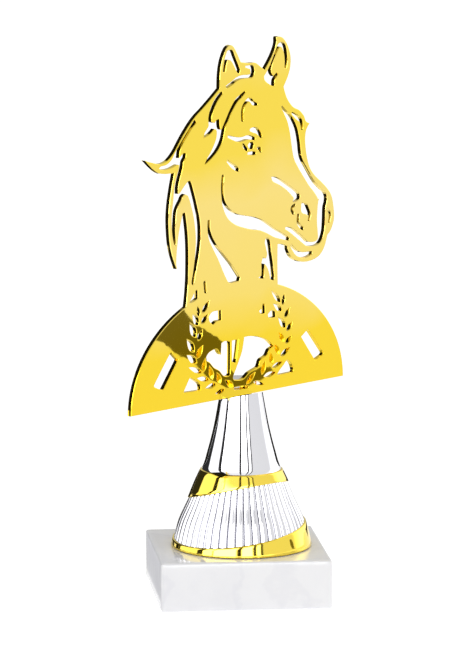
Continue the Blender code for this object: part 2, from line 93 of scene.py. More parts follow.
def noiseNode(nodes, links, vector, scale, detail, roughness):
    node = nodes.new("ShaderNodeTexNoise")
    node.inputs["Scale"].default_value = scale
    node.inputs["Detail"].default_value = detail
    node.inputs["Roughness"].default_value = roughness
    links.new(vector, node.inputs["Vector"])
    return node


def colourMix(nodes, blend="MIX"):
    node = nodes.new("ShaderNodeMix")
    node.data_type = "RGBA"
    node.blend_type = blend
    return node


def addBump(nodes, links, shader, height, strength, distance):
    bump = nodes.new("ShaderNodeBump")
    bump.inputs["Strength"].default_value = strength
    bump.inputs["Distance"].default_value = distance
    links.new(height.outputs["Fac"], bump.inputs["Height"])
    links.new(bump.outputs["Normal"], shader.inputs["Normal"])


def smoothLine(points, steps):
    # Catmull-Rom line through points of any size, end points repeated
    line = []
    padded = [points[0]] + list(points) + [points[-1]]
    for before, start, end, after in zip(padded, padded[1:], padded[2:], padded[3:]):
        for step in range(steps):
            t = step / steps
            line.append(tuple(
                0.5 * (2 * b + (c - a) * t + (2 * a - 5 * b + 4 * c - d) * t * t
                       + (3 * b - a - 3 * c + d) * t ** 3)
                for a, b, c, d in zip(before, start, end, after)))
    line.append(tuple(points[-1]))
    return line


# Marble block

stoneBase = {
    "edgeRadius": 0.9 * mm,
    "edgeAngles": (0, 11, 22, 33, 45),
    "cell": 2.0 * mm,
    "wearDepth": 0.05 * mm,
    "wearScale": 420,
}


def axisStations(half, radius):
    # grid lines along one axis, close together where the edge turns
    inner = half - radius
    near = [inner + radius * math.tan(math.radians(angle)) for angle in stoneBase["edgeAngles"]]
    cells = max(2, round(2 * inner / stoneBase["cell"]))
    middle = [-inner + 2 * inner * index / cells for index in range(1, cells)]
    return [-value for value in reversed(near)] + middle + near


def makeStoneBase():
    low, high = baseBox
    centre = (low + high) / 2
    half = (high - low) / 2
    radius = stoneBase["edgeRadius"]
    stations = [axisStations(half[axis], radius) for axis in range(3)]
    mesh = bpy.data.meshes.new("marbleBlock")
    work = bmesh.new()
    made = {}

    def corner(place):
        key = tuple(round(value * 1e7) for value in place)
        if key not in made:
            point = Vector(place)
            inside = Vector([max(-half[a] + radius, min(half[a] - radius, point[a]))
                             for a in range(3)])
            outward = point - inside
            direction = outward.normalized()
            worn = 0
            if sum(1 for a in range(3) if abs(outward[a]) > 1e-9) > 1:  # on an edge or a corner
                share = 0.5 + 0.5 * noise.noise(point * stoneBase["wearScale"])
                worn = stoneBase["wearDepth"] * share
            made[key] = work.verts.new(centre + inside + direction * (radius - worn))
        return made[key]

    for axis in range(3):
        across, along = (axis + 1) % 3, (axis + 2) % 3
        for sign in (-1, 1):
            for a0, a1 in zip(stations[across], stations[across][1:]):
                for b0, b1 in zip(stations[along], stations[along][1:]):
                    quad = []
                    for a, b in ((a0, b0), (a1, b0), (a1, b1), (a0, b1)):
                        place = [0, 0, 0]
                        place[axis] = sign * half[axis]
                        place[across] = a
                        place[along] = b
                        quad.append(corner(place))
                    work.faces.new(quad if sign > 0 else quad[::-1])
    for face in work.faces:
        face.smooth = True
    work.to_mesh(mesh)
    work.free()
    return dressed("marble_block", mesh, "stone_base")


marble = {
    "clouds": (34, 6, 0.62),  # scale, detail and roughness of the noise
    "cloudTones": [(0.25, (0.77, 0.77, 0.8)), (0.5, (0.82, 0.82, 0.84)),
                   (0.75, (0.85, 0.85, 0.865))],
    "veins": {"Scale": 9, "Distortion": 14, "Detail": 5, "Detail Scale": 2.2},
    "veinTones": [(0, (0.96, 0.96, 0.97)), (0.1, (1, 1, 1)), (1, (1, 1, 1))],
    "polish": [(0.3, 0.06), (0.7, 0.14)],
    "grain": (900, 3, 0.6),
    "grainStrength": 0.06,
    "grainDepth": 0.1 * mm,
}


def marbleMaterial():
    material, nodes, links, shader = newMaterial("white marble")
    where = nodes.new("ShaderNodeTexCoord").outputs["Object"]
    clouds = noiseNode(nodes, links, where, *marble["clouds"])
    veins = nodes.new("ShaderNodeTexWave")
    for socket, value in marble["veins"].items():
        veins.inputs[socket].default_value = value
    links.new(where, veins.inputs["Vector"])
    cloudColour = ramp(nodes, marble["cloudTones"])
    veinColour = ramp(nodes, marble["veinTones"])
    links.new(clouds.outputs["Fac"], cloudColour.inputs["Fac"])
    links.new(veins.outputs["Fac"], veinColour.inputs["Fac"])
    both = colourMix(nodes, "MULTIPLY")
    both.inputs["Factor"].default_value = 1
    links.new(cloudColour.outputs["Color"], both.inputs["A"])
    links.new(veinColour.outputs["Color"], both.inputs["B"])
    links.new(both.outputs["Result"], shader.inputs["Base Color"])
    polish = ramp(nodes, marble["polish"])
    links.new(clouds.outputs["Fac"], polish.inputs["Fac"])
    links.new(polish.outputs["Color"], shader.inputs["Roughness"])
    shader.inputs["IOR"].default_value = 1.5
    grain = noiseNode(nodes, links, where, *marble["grain"])
    addBump(nodes, links, shader, grain, marble["grainStrength"], marble["grainDepth"])
    return material


# Riser

riser = {
    "height": 62.3 * mm,
    "aside": 1.5 * mm,
    "footRadius": 29.2 * mm,
    "topRadius": 9.1 * mm,
    "ribs": 48,
    "columnsPerRib": 12,
    "ribDepth": 0.9 * mm,
    "reedSteps": 18,
    "bandLip": 0.6 * mm,
    "lipSlope": 0.35 * mm,
    "upperBandTop": 31.7 * mm,
    # the slanting edges of the bands: middle height, swing up and down, side where it is highest
    "upperEdge": (23.2 * mm, 5.2 * mm, math.radians(-56)),
    "footEdge": (6.5 * mm, 4.1 * mm, math.radians(24)),
    "lipShape": [(0.0, 0.0), (0.25, 0.1), (0.55, 0.45), (0.8, 0.85), (1.0, 1.0)],  # along, down
    "footRounding": 0.4 * mm,
    "footRows": (0.25, 0.5, 0.75),
    "bandRows": (0.17, 0.33, 0.5, 0.67, 0.83),
    "neckSteps": 20,
    "collarRadius": 12 * mm,
    "collarHeight": 6.5 * mm,
    "collarFlare": 2.4 * mm,
    "collarShape": [(0.25, 0.08), (0.5, 0.3), (0.75, 0.68), (1, 1)],  # share up, share out
    "collarBlend": 0.1,
    "collarEdge": [(0.3 * mm, 0), (0.1 * mm, 0.08 * mm), (0, 0.3 * mm)],  # below the top, inwards
    "taper": 0.16,  # of the collar's front half, a share of its height
    "seatSize": (31 * mm, 17.7 * mm, 8.8 * mm),
    "seatRise": math.tan(math.radians(14)),
    "sharpEdge": math.radians(50),
    # share of the height and share of the way from the foot's radius to the top's
    "profile": [(0, 0), (0.11, 0.08), (0.19, 0.16), (0.31, 0.335), (0.43, 0.49), (0.51, 0.605),
                (0.56, 0.672), (0.63, 0.738), (0.71, 0.811), (0.83, 0.903), (1, 1)],
}
fineProfile = smoothLine(riser["profile"], 6)


def riserRadius(height):
    share = min(max(height / riser["height"], 0), 1)
    for (low, lowFall), (high, highFall) in zip(fineProfile, fineProfile[1:]):
        if share <= high:
            fall = lowFall + (highFall - lowFall) * (share - low) / (high - low)
            return riser["footRadius"] + (riser["topRadius"] - riser["footRadius"]) * fall
    return riser["topRadius"]


def slantedEdge(edge, angle):
    middle, swing, highSide = edge
    return middle + swing * math.cos(angle - highSide)


def riserColumn(angle, ribShare):
    # (height, radius, isGold) up one line of the riser, ribShare 0 on a rib and 1 in a valley
    lip, slope, lipShape = riser["bandLip"], riser["lipSlope"], riser["lipShape"]
    rounding = riser["footRounding"]
    footTop = slantedEdge(riser["footEdge"], angle)
    bandBottom = slantedEdge(riser["upperEdge"], angle)
    bandTop = riser["upperBandTop"]
    column = [(0, riser["footRadius"] - rounding, True)]
    column += [(rounding * (1 - math.cos(turn)),
                riserRadius(rounding) - rounding * (1 - math.sin(turn)), True)
               for turn in (math.pi / 6, math.pi / 3, math.pi / 2)]
    for share in riser["footRows"]:
        height = rounding + (footTop - rounding) * share
        column.append((height, riserRadius(height), True))
    for along, down in lipShape:
        height = footTop + slope * along
        column.append((height, riserRadius(height) - lip * down, True))
    valley = riser["ribDepth"] * ribShare
    reedBottom, reedTop = footTop + slope, bandBottom - slope
    reedSteps = riser["reedSteps"]
    for step in range(reedSteps + 1):
        height = reedBottom + (reedTop - reedBottom) * step / reedSteps
        column.append((height, riserRadius(height) - lip - valley, False))
    for along, down in reversed(lipShape):
        height = bandBottom - slope * along
        column.append((height, riserRadius(height) - lip * down, True))
    for share in riser["bandRows"]:
        height = bandBottom + (bandTop - bandBottom) * share
        column.append((height, riserRadius(height), True))
    for along, down in lipShape:
        height = bandTop + slope * along
        column.append((height, riserRadius(height) - lip * down, True))
    neckBottom = bandTop + slope
    neckSteps = riser["neckSteps"]
    for step in range(1, neckSteps + 1):
        share = step / neckSteps
        height = neckBottom + (riser["height"] - neckBottom) * share
        column.append((height, riserRadius(height) - lip * (1 - share) ** 2, False))
    # the collar widens only behind the plate
    towardsBack = -math.cos(angle - plate["turn"] + math.pi / 2)
    behind = min(max(towardsBack / riser["collarBlend"], 0), 1)
    for share, out in riser["collarShape"]:
        rise = riser["collarFlare"] * share
        narrow = riser["topRadius"] - riser["taper"] * rise
        radius = narrow + (riser["collarRadius"] - narrow) * out * behind
        column.append((riser["height"] + rise, radius, False))
    top = riser["height"] + riser["collarHeight"]
    wide = column[-1][1]
    column += [(top - below, wide - inwards, False) for below, inwards in riser["collarEdge"]]
    return column


def makeRiser(silver, gold, valleyShade):
    work = bmesh.new()
    columnCount = riser["ribs"] * riser["columnsPerRib"]
    floorHeight = riserBox[0].z
    # slot 2 is a dark grey finish in the rib valleys: painted shade between the ribs
    silverSlot, goldSlot, valleyShadeSlot = 0, 1, 2
    columns = []
    for number in range(columnCount):
        angle = 2 * math.pi * number / columnCount
        acrossRib = 2 * (number % riser["columnsPerRib"]) / riser["columnsPerRib"]
        acrossRib = acrossRib if acrossRib <= 1 else acrossRib - 2
        ribShare = 1 - math.sqrt(max(0, 1 - acrossRib ** 2))
        line = riserColumn(angle, ribShare)
        columns.append([
            work.verts.new((riser["aside"] + radius * math.cos(angle), radius * math.sin(angle),
                            floorHeight + height)) for height, radius, isGold in line])
    goldRows = [isGold for height, radius, isGold in line]
    firstReed = goldRows.index(False)
    reedRows = range(firstReed, firstReed + riser["reedSteps"])
    middle = riser["columnsPerRib"] // 2
    for number, (column, nextColumn) in enumerate(zip(columns, columns[1:] + columns[:1])):
        # the two columns at the bottom of each valley, in the reeded rows, take the painted shade
        inValley = number % riser["columnsPerRib"] in (middle - 1, middle)
        for row in range(len(column) - 1):
            face = work.faces.new((column[row], nextColumn[row],
                                   nextColumn[row + 1], column[row + 1]))
            face.smooth = True
            plated = goldSlot if goldRows[row] and goldRows[row + 1] else silverSlot
            face.material_index = valleyShadeSlot if inValley and row in reedRows else plated
    work.faces.new([column[0] for column in reversed(columns)]).material_index = goldSlot
    work.faces.new([column[-1] for column in columns])
    mesh = bpy.data.meshes.new("riser")
    work.to_mesh(mesh)
    work.free()
    for finish in (silver, gold, valleyShade):
        mesh.materials.append(finish)
    cutSeat(mesh)
    mesh.set_sharp_from_angle(angle=riser["sharpEdge"])
    return dressed("plated_riser", mesh, "riser")


def cutSeat(mesh):
    # block that clears the front half of the collar, its underside rising away from the plate
    width, depth, height = riser["seatSize"]
    half, rise = plate["thickness"] / 2, riser["seatRise"]
    slant = Matrix.Identity(4)
    slant[2][1], slant[2][3] = -rise, -rise * half
    block = bmesh.new()
    bmesh.ops.create_cube(block, size=1)
    placing = (Matrix.Translation((0, 0, plateBox[0].z - plate["seatGap"]))
               @ Matrix.Rotation(plate["turn"], 4, "Z") @ slant
               @ Matrix.Translation((0, half + plate["gap"] - depth / 2, height / 2))
               @ Matrix.Diagonal((width, depth, height, 1)))
    bmesh.ops.transform(block, matrix=placing, verts=block.verts)
    blockMesh = bpy.data.meshes.new("seatBlock")
    block.to_mesh(blockMesh)
    block.free()
    cutter = bpy.data.objects.new("seatBlock", blockMesh)
    whole = bpy.data.objects.new("riserWhole", mesh.copy())
    for thing in (cutter, whole):
        bpy.context.scene.collection.objects.link(thing)
    cut = whole.modifiers.new("seat", "BOOLEAN")
    cut.operation = "DIFFERENCE"
    cut.solver = "EXACT"
    cut.object = cutter
    bpy.context.view_layer.update()
    evaluated = whole.evaluated_get(bpy.context.evaluated_depsgraph_get())
    finished = bpy.data.meshes.new_from_object(evaluated)
    work = bmesh.new()
    work.from_mesh(finished)
    work.to_mesh(mesh)
    work.free()
    for thing in (cutter, whole):
        bpy.data.objects.remove(thing, do_unlink=True)


# Figure plate, drawn flat in millimetres as (across, up) from the middle of its bottom edge

plate = {
    "width": 128.5 * mm,
    "height": 146.8 * mm,
    "thickness": 2.2 * mm,
    "turn": math.radians(41),
    "gap": 0.3 * mm,
    "seatGap": 0.02 * mm,
    # from here on in millimetres and degrees of the drawing
    "discHalfWidth": 64.25,
    "discHeight": 47.2,
    "drawnHeight": 146.8,
    "edgeRadius": 0.31,
    "edgeFlat": 0.06,
    "wallInset": 0.08,
    "seam": (-0.08, -0.62, -0.7),
    "leafTaper": 0.5,  # how far a carved leaf closes on its way to the back
    "leafFullness": 0.8,
    "sharpTurn": 50,
    "sharpEdge": 40,
    "closestPoints": 0.12,
    "miterLimit": 0.35,
    "steps": {"disc": 90, "outline": 6, "stroke": 5, "cut": 4, "leaf": 10},
    "capTurns": (0.5, 1.0, 1.571, 2.1, 2.6),  # radians round the end of a stroke
}
plateAcross = Vector((math.cos(plate["turn"]), math.sin(plate["turn"]), 0))
plateFacing = Vector((math.sin(plate["turn"]), -math.cos(plate["turn"]), 0))

# Runs of the horse's outline, from the front of the neck round to its back.
# Each run is one smooth line, and two runs meet in a corner.
horseRuns = {
    "neck front": [(23.4, 44), (23.2, 52.9), (23.3, 60.5)],
    "throat": [(23.3, 60.5), (25.5, 60.3), (27.7, 59.7), (29.2, 58.9)],
    "chin": [
        (29.2, 58.9), (29.6, 57.1), (31.5, 54.3), (34.5, 52.5), (38.7, 51.4), (42.9, 51.3),
        (47.1, 52.1), (50.2, 53.8), (52.5, 56.8), (54.1, 61.1)],
    "muzzle": [
        (54.1, 61.1), (56.3, 63.1), (58.2, 67.4), (58, 72.1), (56.6, 77.5), (53.8, 81),
        (50.1, 84.1), (45.6, 87.6), (42.7, 91.3), (41, 96.1), (40.1, 101.9), (40.4, 105.5)],
    "brow point low": [(40.4, 105.5), (41.2, 107.2), (42.9, 109.1)],
    "brow": [
        (42.9, 109.1), (40.5, 110.3), (39.3, 112.6), (36.4, 115.2), (32.6, 116.9), (29.4, 120.1),
        (27.7, 123.2), (26.8, 125.7)],
    "far ear back": [
        (26.8, 125.7), (29.3, 129.6), (30.9, 133.9), (30.9, 138.4), (29.1, 142.8), (26.2, 146),
        (22.9, 146.8), (22.1, 146.2)],
    "far ear front": [(22.1, 146.2), (21.9, 143.4), (19.4, 138.9), (15.1, 133.7)],
    "poll": [(15.1, 133.7), (12.4, 135.4), (9.3, 137.1), (4.8, 137.3), (0.8, 138)],
    "near ear": [
        (0.8, 138), (-1.5, 141.9), (-3.7, 144.8), (-6, 145.4), (-8.4, 143.7), (-10.8, 138.7),
        (-11.8, 133.3), (-12, 128.3)],
    "crest": [
        (-12, 128.3), (-16.1, 125.2), (-21.7, 121.2), (-27.4, 117.3), (-33.1, 111.6),
        (-38.5, 105.1), (-41.8, 102.3), (-44.4, 101.2), (-47.6, 100.9), (-51.1, 101.7),
        (-55.8, 103)],
    "curl": [
        (-55.8, 103), (-53.7, 101), (-50.2, 98.3), (-47.4, 96.9), (-43.5, 96.3), (-38.7, 96.2)],
    "lock outside": [
        (-38.7, 96.2), (-40.5, 89.2), (-41.7, 83), (-42.1, 76.4), (-41.4, 68), (-39.8, 62.2),
        (-37.4, 56.9)],
    "lock inside": [(-37.4, 56.9), (-37.3, 62.7), (-36.1, 70.7), (-34.4, 76.9), (-33.7, 79.3)],
    "lock notch": [(-33.7, 79.3), (-32.3, 79.5)],
    "neck back": [
        (-32.3, 79.5), (-31, 71.3), (-30.5, 63.4), (-30.6, 53.5), (-31.2, 46.1), (-32, 41)],
}

# Cuts drawn as one brush stroke: (across, up, width) along the middle of the cut
strokes = {
    "nose bridge and mouth": [
        (25.7, 117.5, 0.6), (28.1, 114.6, 1.7), (30.7, 111.5, 3.2), (33, 106.6, 4.6),
        (34.2, 101.6, 5), (35.2, 96.6, 4.6), (36.8, 93.3, 3.8), (39.8, 89.3, 3.6),
        (43.8, 84.3, 3.3), (46.3, 81.8, 3.1), (49, 79.2, 3.8), (51, 76.8, 5.2), (50.3, 73.1, 4.7),
        (50, 67.8, 4.8), (50, 63.2, 3.9), (49.1, 59.8, 2.2), (46.6, 58.4, 1.5), (41.8, 58.7, 1.6),
        (38.7, 60.7, 2), (34.5, 63.6, 2), (31.3, 65.6, 1.8), (28.3, 66.7, 0.8)],
    "jaw": [
        (-10, 92.2, 1.1), (-10.4, 87.9, 1.2), (-10, 83.4, 1.3), (-8.8, 79.8, 2.1),
        (-5.9, 76.1, 3.4), (-1.8, 73.6, 4.2), (3.2, 72.1, 4.7), (8.7, 70.8, 5), (13.1, 69.6, 4.2),
        (17.4, 67.6, 3.5), (21.7, 65.3, 3), (26, 63.6, 2.2), (29.6, 62.1, 1.2)],
    "nostril": [
        (38.5, 75.5, 1.5), (39.6, 74, 4.3), (41.5, 72.4, 2.7), (42.9, 70.8, 1.3),
        (42.3, 68.7, 0.9)],
    "nostril fold": [(33.6, 75.9, 0.9), (32.1, 75.1, 1.1), (31.8, 74, 1.2), (32.6, 72.5, 1.1)],
    "muzzle line": [(35.8, 71.4, 1.1), (35.6, 68.6, 1.2), (36.6, 67, 1.2), (38.4, 65.5, 1.3)],
    "upper lip": [(54.1, 71.8, 0.8), (55.3, 70.4, 1.1), (55.5, 68.6, 1.1), (54.9, 66.7, 0.9)],
    "lower lip": [
        (31.5, 59.2, 0.8), (32.9, 57.6, 1.4), (35, 55.7, 1.9), (37.6, 54.6, 2), (40.8, 54.3, 2),
        (43.8, 54.7, 1.3)],
    "brow line": [
        (32.1, 114.2, 0.8), (34.8, 112.4, 1.6), (37, 110.9, 1.5), (37.8, 109.2, 1.4),
        (38, 107.2, 0.9)],
    "front loop": [
        (1.7, 114, 1.1), (1.6, 117.4, 1.2), (2.5, 120, 1.1), (5, 122, 1.2), (6.7, 121.9, 1.4),
        (8.2, 120.5, 1.5), (10.2, 119.8, 1)],
    "poll hook": [
        (-7.6, 128.6, 1), (-4.5, 129.8, 1.1), (-1.7, 131.2, 1.2), (1.6, 131.8, 1.2),
        (5, 131.7, 1.2), (7.1, 131.9, 1.6), (7.8, 133.5, 2.2), (7.2, 135.2, 2), (5.7, 135.5, 1.1),
        (3.9, 135.8, 0.6)],
    "upper eyelid": [
        (-6.6, 108.1, 0.8), (-3.4, 107, 1.3), (-0.7, 106.3, 1.6), (1.9, 106.3, 1.5),
        (4.6, 106.7, 1.5), (6.9, 106.4, 1.4), (8.8, 105.8, 1.1)],
    "eye corner": [(2.1, 104, 1), (3.2, 102.7, 1.3), (4.2, 101.7, 1.1)],
    "lower eyelid": [(5.3, 100, 0.8), (7.2, 99.9, 1.3), (9.1, 99.8, 1.2)],
    "lid end": [(11.2, 101.8, 0.9), (12.1, 101.3, 1.3), (12.6, 100.3, 1)],
    "eyebrow": [
        (6.9, 109.6, 1.2), (8.7, 109.4, 2.1), (10.4, 108.9, 2.1), (11.8, 107.8, 1.8),
        (12.8, 106.4, 1.2)],
    "cheek fold": [(-7.1, 98, 0.9), (-4.5, 96, 1.6), (-2.3, 94.7, 1.7), (-1.1, 93.9, 1.3)],
    "chest dash": [(-20.9, 49.6, 1.2), (-20.4, 45.8, 1.2)],
    "bow": [(-2.9, 3.4, 0.9), (1, 3.3, 1.1), (4.8, 3.1, 0.9)],
}

# Cuts drawn as a closed shape
closedCuts = {
    "cheek": [
        (19.4, 88.9), (21.9, 88.6), (25.1, 87.2), (31.2, 83.6), (34.4, 81.7), (36.5, 80),
        (36.7, 78.4), (34.8, 77.5), (32.5, 77.3), (33.3, 78.9), (31.2, 80.8), (28.1, 83.2),
        (24.4, 85.3), (20.4, 87.1)],
    "pupil": [(5, 103.4), (6.1, 104.3), (7.8, 104.5), (8.6, 103.4), (7.9, 101.8), (6.2, 101.9)],
    "forelock": [
        (3.5, 125.5), (1.4, 123.7), (-1.4, 121.9), (-4.4, 118.5), (-6.7, 115), (-8.5, 112.3),
        (-9.2, 110), (-10, 107.4), (-11.5, 104.9), (-13.7, 102.5), (-17.1, 100), (-20.8, 98),
        (-19.4, 100), (-17.4, 102.2), (-15.5, 104.8), (-14, 107.4), (-13.4, 109.9), (-13.7, 111.7),
        (-15.1, 112.1), (-17.2, 110.6), (-19.2, 109.7), (-21.4, 109.1), (-20.4, 111.1),
        (-18.5, 113.1), (-18.3, 114.5), (-18.5, 116.7), (-17.7, 119.4), (-16.2, 122),
        (-14.2, 124.5), (-11.9, 126.3), (-10.4, 126.8), (-10.2, 125.9), (-12.1, 124.4),
        (-14, 122.2), (-15.6, 119.6), (-16.8, 117), (-16.8, 114.9), (-14.8, 114.3), (-13.5, 115.5),
        (-12.1, 115.6), (-12, 113.1), (-11.5, 111.5), (-10.7, 111.2), (-9.8, 112.7), (-8, 115.5),
        (-5.7, 119), (-2.5, 122.8), (0.6, 124.6), (2.9, 125.8)],
    "mane": [
        (-26.6, 116.6), (-25.8, 115.5), (-28.3, 113.7), (-30.8, 111), (-33.2, 108.4),
        (-35.3, 105.2), (-35.9, 101.9), (-34.3, 102.9), (-32.9, 103.9), (-31.8, 103.4),
        (-32.1, 102.1), (-33.3, 100.5), (-33.7, 98.5), (-34.5, 96.1), (-35.6, 93.4), (-36.5, 90.2),
        (-36.6, 87.5), (-35.4, 87.7), (-33.2, 89.8), (-30.7, 91.9), (-29.4, 92.1), (-28.4, 90.4),
        (-27.4, 87.7), (-26.2, 84.3), (-25.1, 80.7), (-24.1, 77.3), (-23.5, 74), (-23.3, 70.6),
        (-23.4, 67.1), (-23.9, 63.6), (-24.9, 59), (-26.6, 53.1), (-27.3, 50.4), (-28, 49.4),
        (-28.5, 50.6), (-27.7, 54.1), (-27, 57.6), (-26.4, 61.6), (-26, 65.5), (-26, 69.5),
        (-26.4, 72.9), (-27, 76.4), (-27.9, 79.8), (-29.2, 83.5), (-30, 85.4), (-30.8, 86.5),
        (-32.5, 87.2), (-33.8, 86.4), (-34.8, 84.8), (-36.3, 82.9), (-37.5, 80.6), (-37.9, 77.8),
        (-38.2, 74), (-38.1, 70.5), (-37.8, 67.8), (-38.2, 66.8), (-38.9, 67.8), (-39.6, 70.3),
        (-40, 73.5), (-40.1, 76.9), (-39.9, 80.4), (-39.4, 83.3), (-39, 86.3), (-38.6, 89.8),
        (-37.9, 92.7), (-36.8, 95.5), (-35.9, 97.7), (-35.6, 99.3), (-36.9, 99.6), (-38.5, 99.2),
        (-40.6, 98.6), (-43.5, 98.3), (-46.2, 98.5), (-47.3, 99), (-46.2, 99.6), (-43.9, 99.8),
        (-42, 100.4), (-39.9, 101.9), (-38.1, 104.3), (-35.9, 106.9), (-33.1, 110), (-30.9, 112.3),
        (-28.8, 114.5), (-27.3, 116.2)],
    "shoulder": [
        (-18.9, 74.9), (-17.8, 74.9), (-17.7, 71.5), (-16.6, 68.4), (-14.1, 64.7), (-9.6, 60),
        (-4.7, 55.1), (0.3, 49.2), (-0.2, 48.1), (-4.7, 47.8), (-6.7, 48.4), (-9.4, 52.5),
        (-12.7, 58.4), (-16.1, 63.6), (-18.2, 67.2), (-19, 71.2)],
    "neck front": [
        (16.2, 64), (17.8, 63.4), (18.7, 61.3), (19.3, 57.8), (20.1, 53.8), (20.7, 50.3),
        (21, 46.7), (20.2, 45.9), (18.7, 46.6), (18.3, 48.7), (17.4, 50.9), (16.2, 52.7),
        (15.1, 53.4), (14.9, 50.6), (14.7, 48), (14.2, 47.3), (11.6, 47.8), (13.3, 48.5),
        (13.5, 50.6), (13.4, 53.6), (14.3, 55.9), (16.2, 55.3), (16.9, 57.1), (16.2, 59.7),
        (15.5, 62.2)],
    "near ear hollow": [
        (-7.3, 143), (-5.5, 143.4), (-4.1, 142.9), (-2.6, 140.1), (-1.1, 137.4), (0.3, 134.7),
        (-0.2, 133.5), (-1.5, 134.1), (-3.1, 136.7), (-5.2, 139.2), (-7.2, 139.5), (-7.9, 137.8),
        (-8.6, 134.7), (-9.8, 134.9), (-9.4, 137.3), (-8.7, 140.1)],
    "far ear hollow": [
        (14.9, 130.9), (17.2, 133.5), (19.2, 136.5), (21.3, 140), (22.6, 142.3), (23.6, 143.6),
        (25.4, 144.1), (27.1, 143.4), (28.2, 141.5), (28.8, 138.5), (28.8, 135.5), (28.2, 133.3),
        (27.3, 133.4), (27.4, 135.9), (27.1, 138.9), (26.3, 141.1), (25.4, 142.3), (24.1, 142.4),
        (23.2, 141.3), (21.5, 138.9), (19.8, 135.9), (19, 133.7), (19.1, 132), (20.4, 130.4),
        (22.4, 131.8), (23.2, 131.2), (21.2, 129.1), (20.9, 126.7), (19.9, 126.6), (18.1, 127.5),
        (16.2, 128.6), (15.1, 129.8)],
    "left of throat": [
        (-29.8, 42.4), (-28.1, 44.3), (-26.4, 46.6), (-25.1, 47), (-25.1, 43.7), (-27.4, 42.7)],
    "heart": [
        (-18.3, 35.2), (-16.1, 36.9), (-11.1, 37), (-11, 33), (-13.6, 33), (-15.9, 31.7),
        (-17.8, 33.3)],
    "small right": [
        (12.1, 34), (13.6, 34.8), (14.2, 36.7), (15.2, 36.5), (15.4, 32.7), (12.8, 32.8)],
    "far right": [
        (17.4, 32), (19.4, 33.4), (21.7, 32.4), (21.9, 30.5), (19.1, 30.4), (17.6, 30.8)],
    "left slot": [
        (-50.6, 11.1), (-41.6, 22.4), (-40.4, 22.7), (-37.2, 19.8), (-37.3, 19.1), (-45.4, 8.8),
        (-46.5, 8.8), (-50.2, 10.3)],
    "right slot": [
        (38, 20), (41.6, 22.4), (42.8, 21.7), (51.4, 11.6), (50.9, 10.9), (46.8, 9.3),
        (45.8, 10.1)],
    "left corner": [(-29.7, 11.4), (-28.7, 11), (-24.1, 8.2), (-23.4, 5.6), (-33.3, 5.9)],
    "right corner": [
        (23.4, 6.3), (25, 7.9), (27.1, 9.5), (28.8, 11.2), (29.6, 11.1), (31.7, 9.5), (32.9, 6.9),
        (32.6, 6), (24.2, 5.9)],
    "right field": [
        (3, 24.1), (6.1, 24.1), (10.1, 23.5), (14.3, 22.3), (17.8, 20.6), (20.6, 18.2), (18, 17.2),
        (16.8, 15.4), (15.4, 14.6), (12.7, 13.6), (11.4, 11), (9.2, 10.2), (5.5, 9), (2.8, 7.2),
        (0.4, 6.8), (-3.2, 7.3), (-3.6, 8.6), (-1.1, 13.1), (1.7, 18.5)],
    "wedge": [(-4.4, 23.5), (-0.6, 23.7), (-1.1, 20.1), (-2.1, 15.1), (-2.9, 14.4), (-4.4, 15)],
    "left field": [
        (-19.8, 18.8), (-18.2, 20.3), (-15.2, 21.2), (-13.5, 21), (-12.2, 19.3), (-11.1, 18.5),
        (-10.7, 23.3), (-8.5, 23.9), (-6.3, 23.3), (-5.6, 22.1), (-5.7, 10), (-6.9, 9.3),
        (-9.6, 9.9), (-12.1, 12.3), (-15.2, 13.9), (-17.7, 16.3), (-19.5, 17.2)],
}

# Laurel leaves, each a pointed cut: root, tip and greatest width
leaves = [
    (-26.2, 27.9, -29.6, 33.9, 3.2),
    (-27.3, 22, -31.3, 27.3, 2.9),
    (-25.8, 17.2, -31.2, 20.8, 2.7),
    (-22.8, 12.8, -30.1, 15.7, 1.9),
    (-18.6, 9.3, -25.2, 10.6, 1.8),
    (-14.3, 6.9, -20.4, 5.9, 1.7),
    (-9.2, 3.9, -14.5, 2.8, 1.5),
    (-24.6, 32.7, -27.9, 37.3, 2.9),
    (-24.3, 36.2, -25, 40.2, 1.7),
    (-22.4, 37.3, -18, 41.9, 2),
    (-22.9, 32.9, -18.9, 36.3, 1.9),
    (-24.9, 26.4, -22.4, 30.2, 2.2),
    (27.5, 29.5, 30.7, 33.2, 1.8),
    (28.8, 23.7, 32.2, 26.9, 1.9),
    (28.1, 18.5, 31.6, 21.1, 1.6),
    (25.1, 13.5, 30.5, 16.4, 1.9),
    (20, 9.4, 26, 11, 1.5),
    (15, 6.3, 22, 7.1, 1.9),
    (8.8, 4.7, 14.6, 3, 1.5),
    (26.3, 35, 27.3, 39.3, 1.7),
    (25, 36.2, 19.5, 41.4, 2),
    (25.7, 32.5, 20.8, 35.8, 2.1),
    (28.1, 25.2, 23.8, 29.7, 2.5),
]

# Lower leaves on the inside of the wreath, carved so that they close towards the back
carvedLeaves = [
    (-25.6, 19.2, -22.3, 23.6, 2.5),
    (-21.9, 12.9, -20.8, 18, 2.2),
    (-16.3, 9.3, -18.1, 14.5, 2.3),
    (-11.6, 7, -13.6, 11.2, 2.3),
    (-4, 4.5, -8.4, 7.5, 2.1),
    (27, 19.6, 24.1, 23.4, 2.1),
    (24.2, 14.6, 21.5, 18.7, 2.2),
    (19.6, 10.8, 19, 15.6, 2.2),
    (13.6, 7.5, 15.5, 12.5, 2.2),
    (4.4, 4.7, 9.2, 8.5, 2),
]


def discEdge(firstAngle, lastAngle):
    steps = plate["steps"]["disc"]
    angles = [firstAngle + (lastAngle - firstAngle) * step / steps for step in range(steps + 1)]
    return [(plate["discHalfWidth"] * math.cos(angle), plate["discHeight"] * math.sin(angle))
            for angle in angles]


def plateOutline():
    frontFoot = horseRuns["neck front"][0][0]
    backFoot = horseRuns["neck back"][-1][0]
    outline = discEdge(0, math.acos(frontFoot / plate["discHalfWidth"]))
    for run in horseRuns.values():
        outline += smoothLine(run, plate["steps"]["outline"])[1:]
    outline += discEdge(math.acos(backFoot / plate["discHalfWidth"]), math.pi)[1:]
    return outline


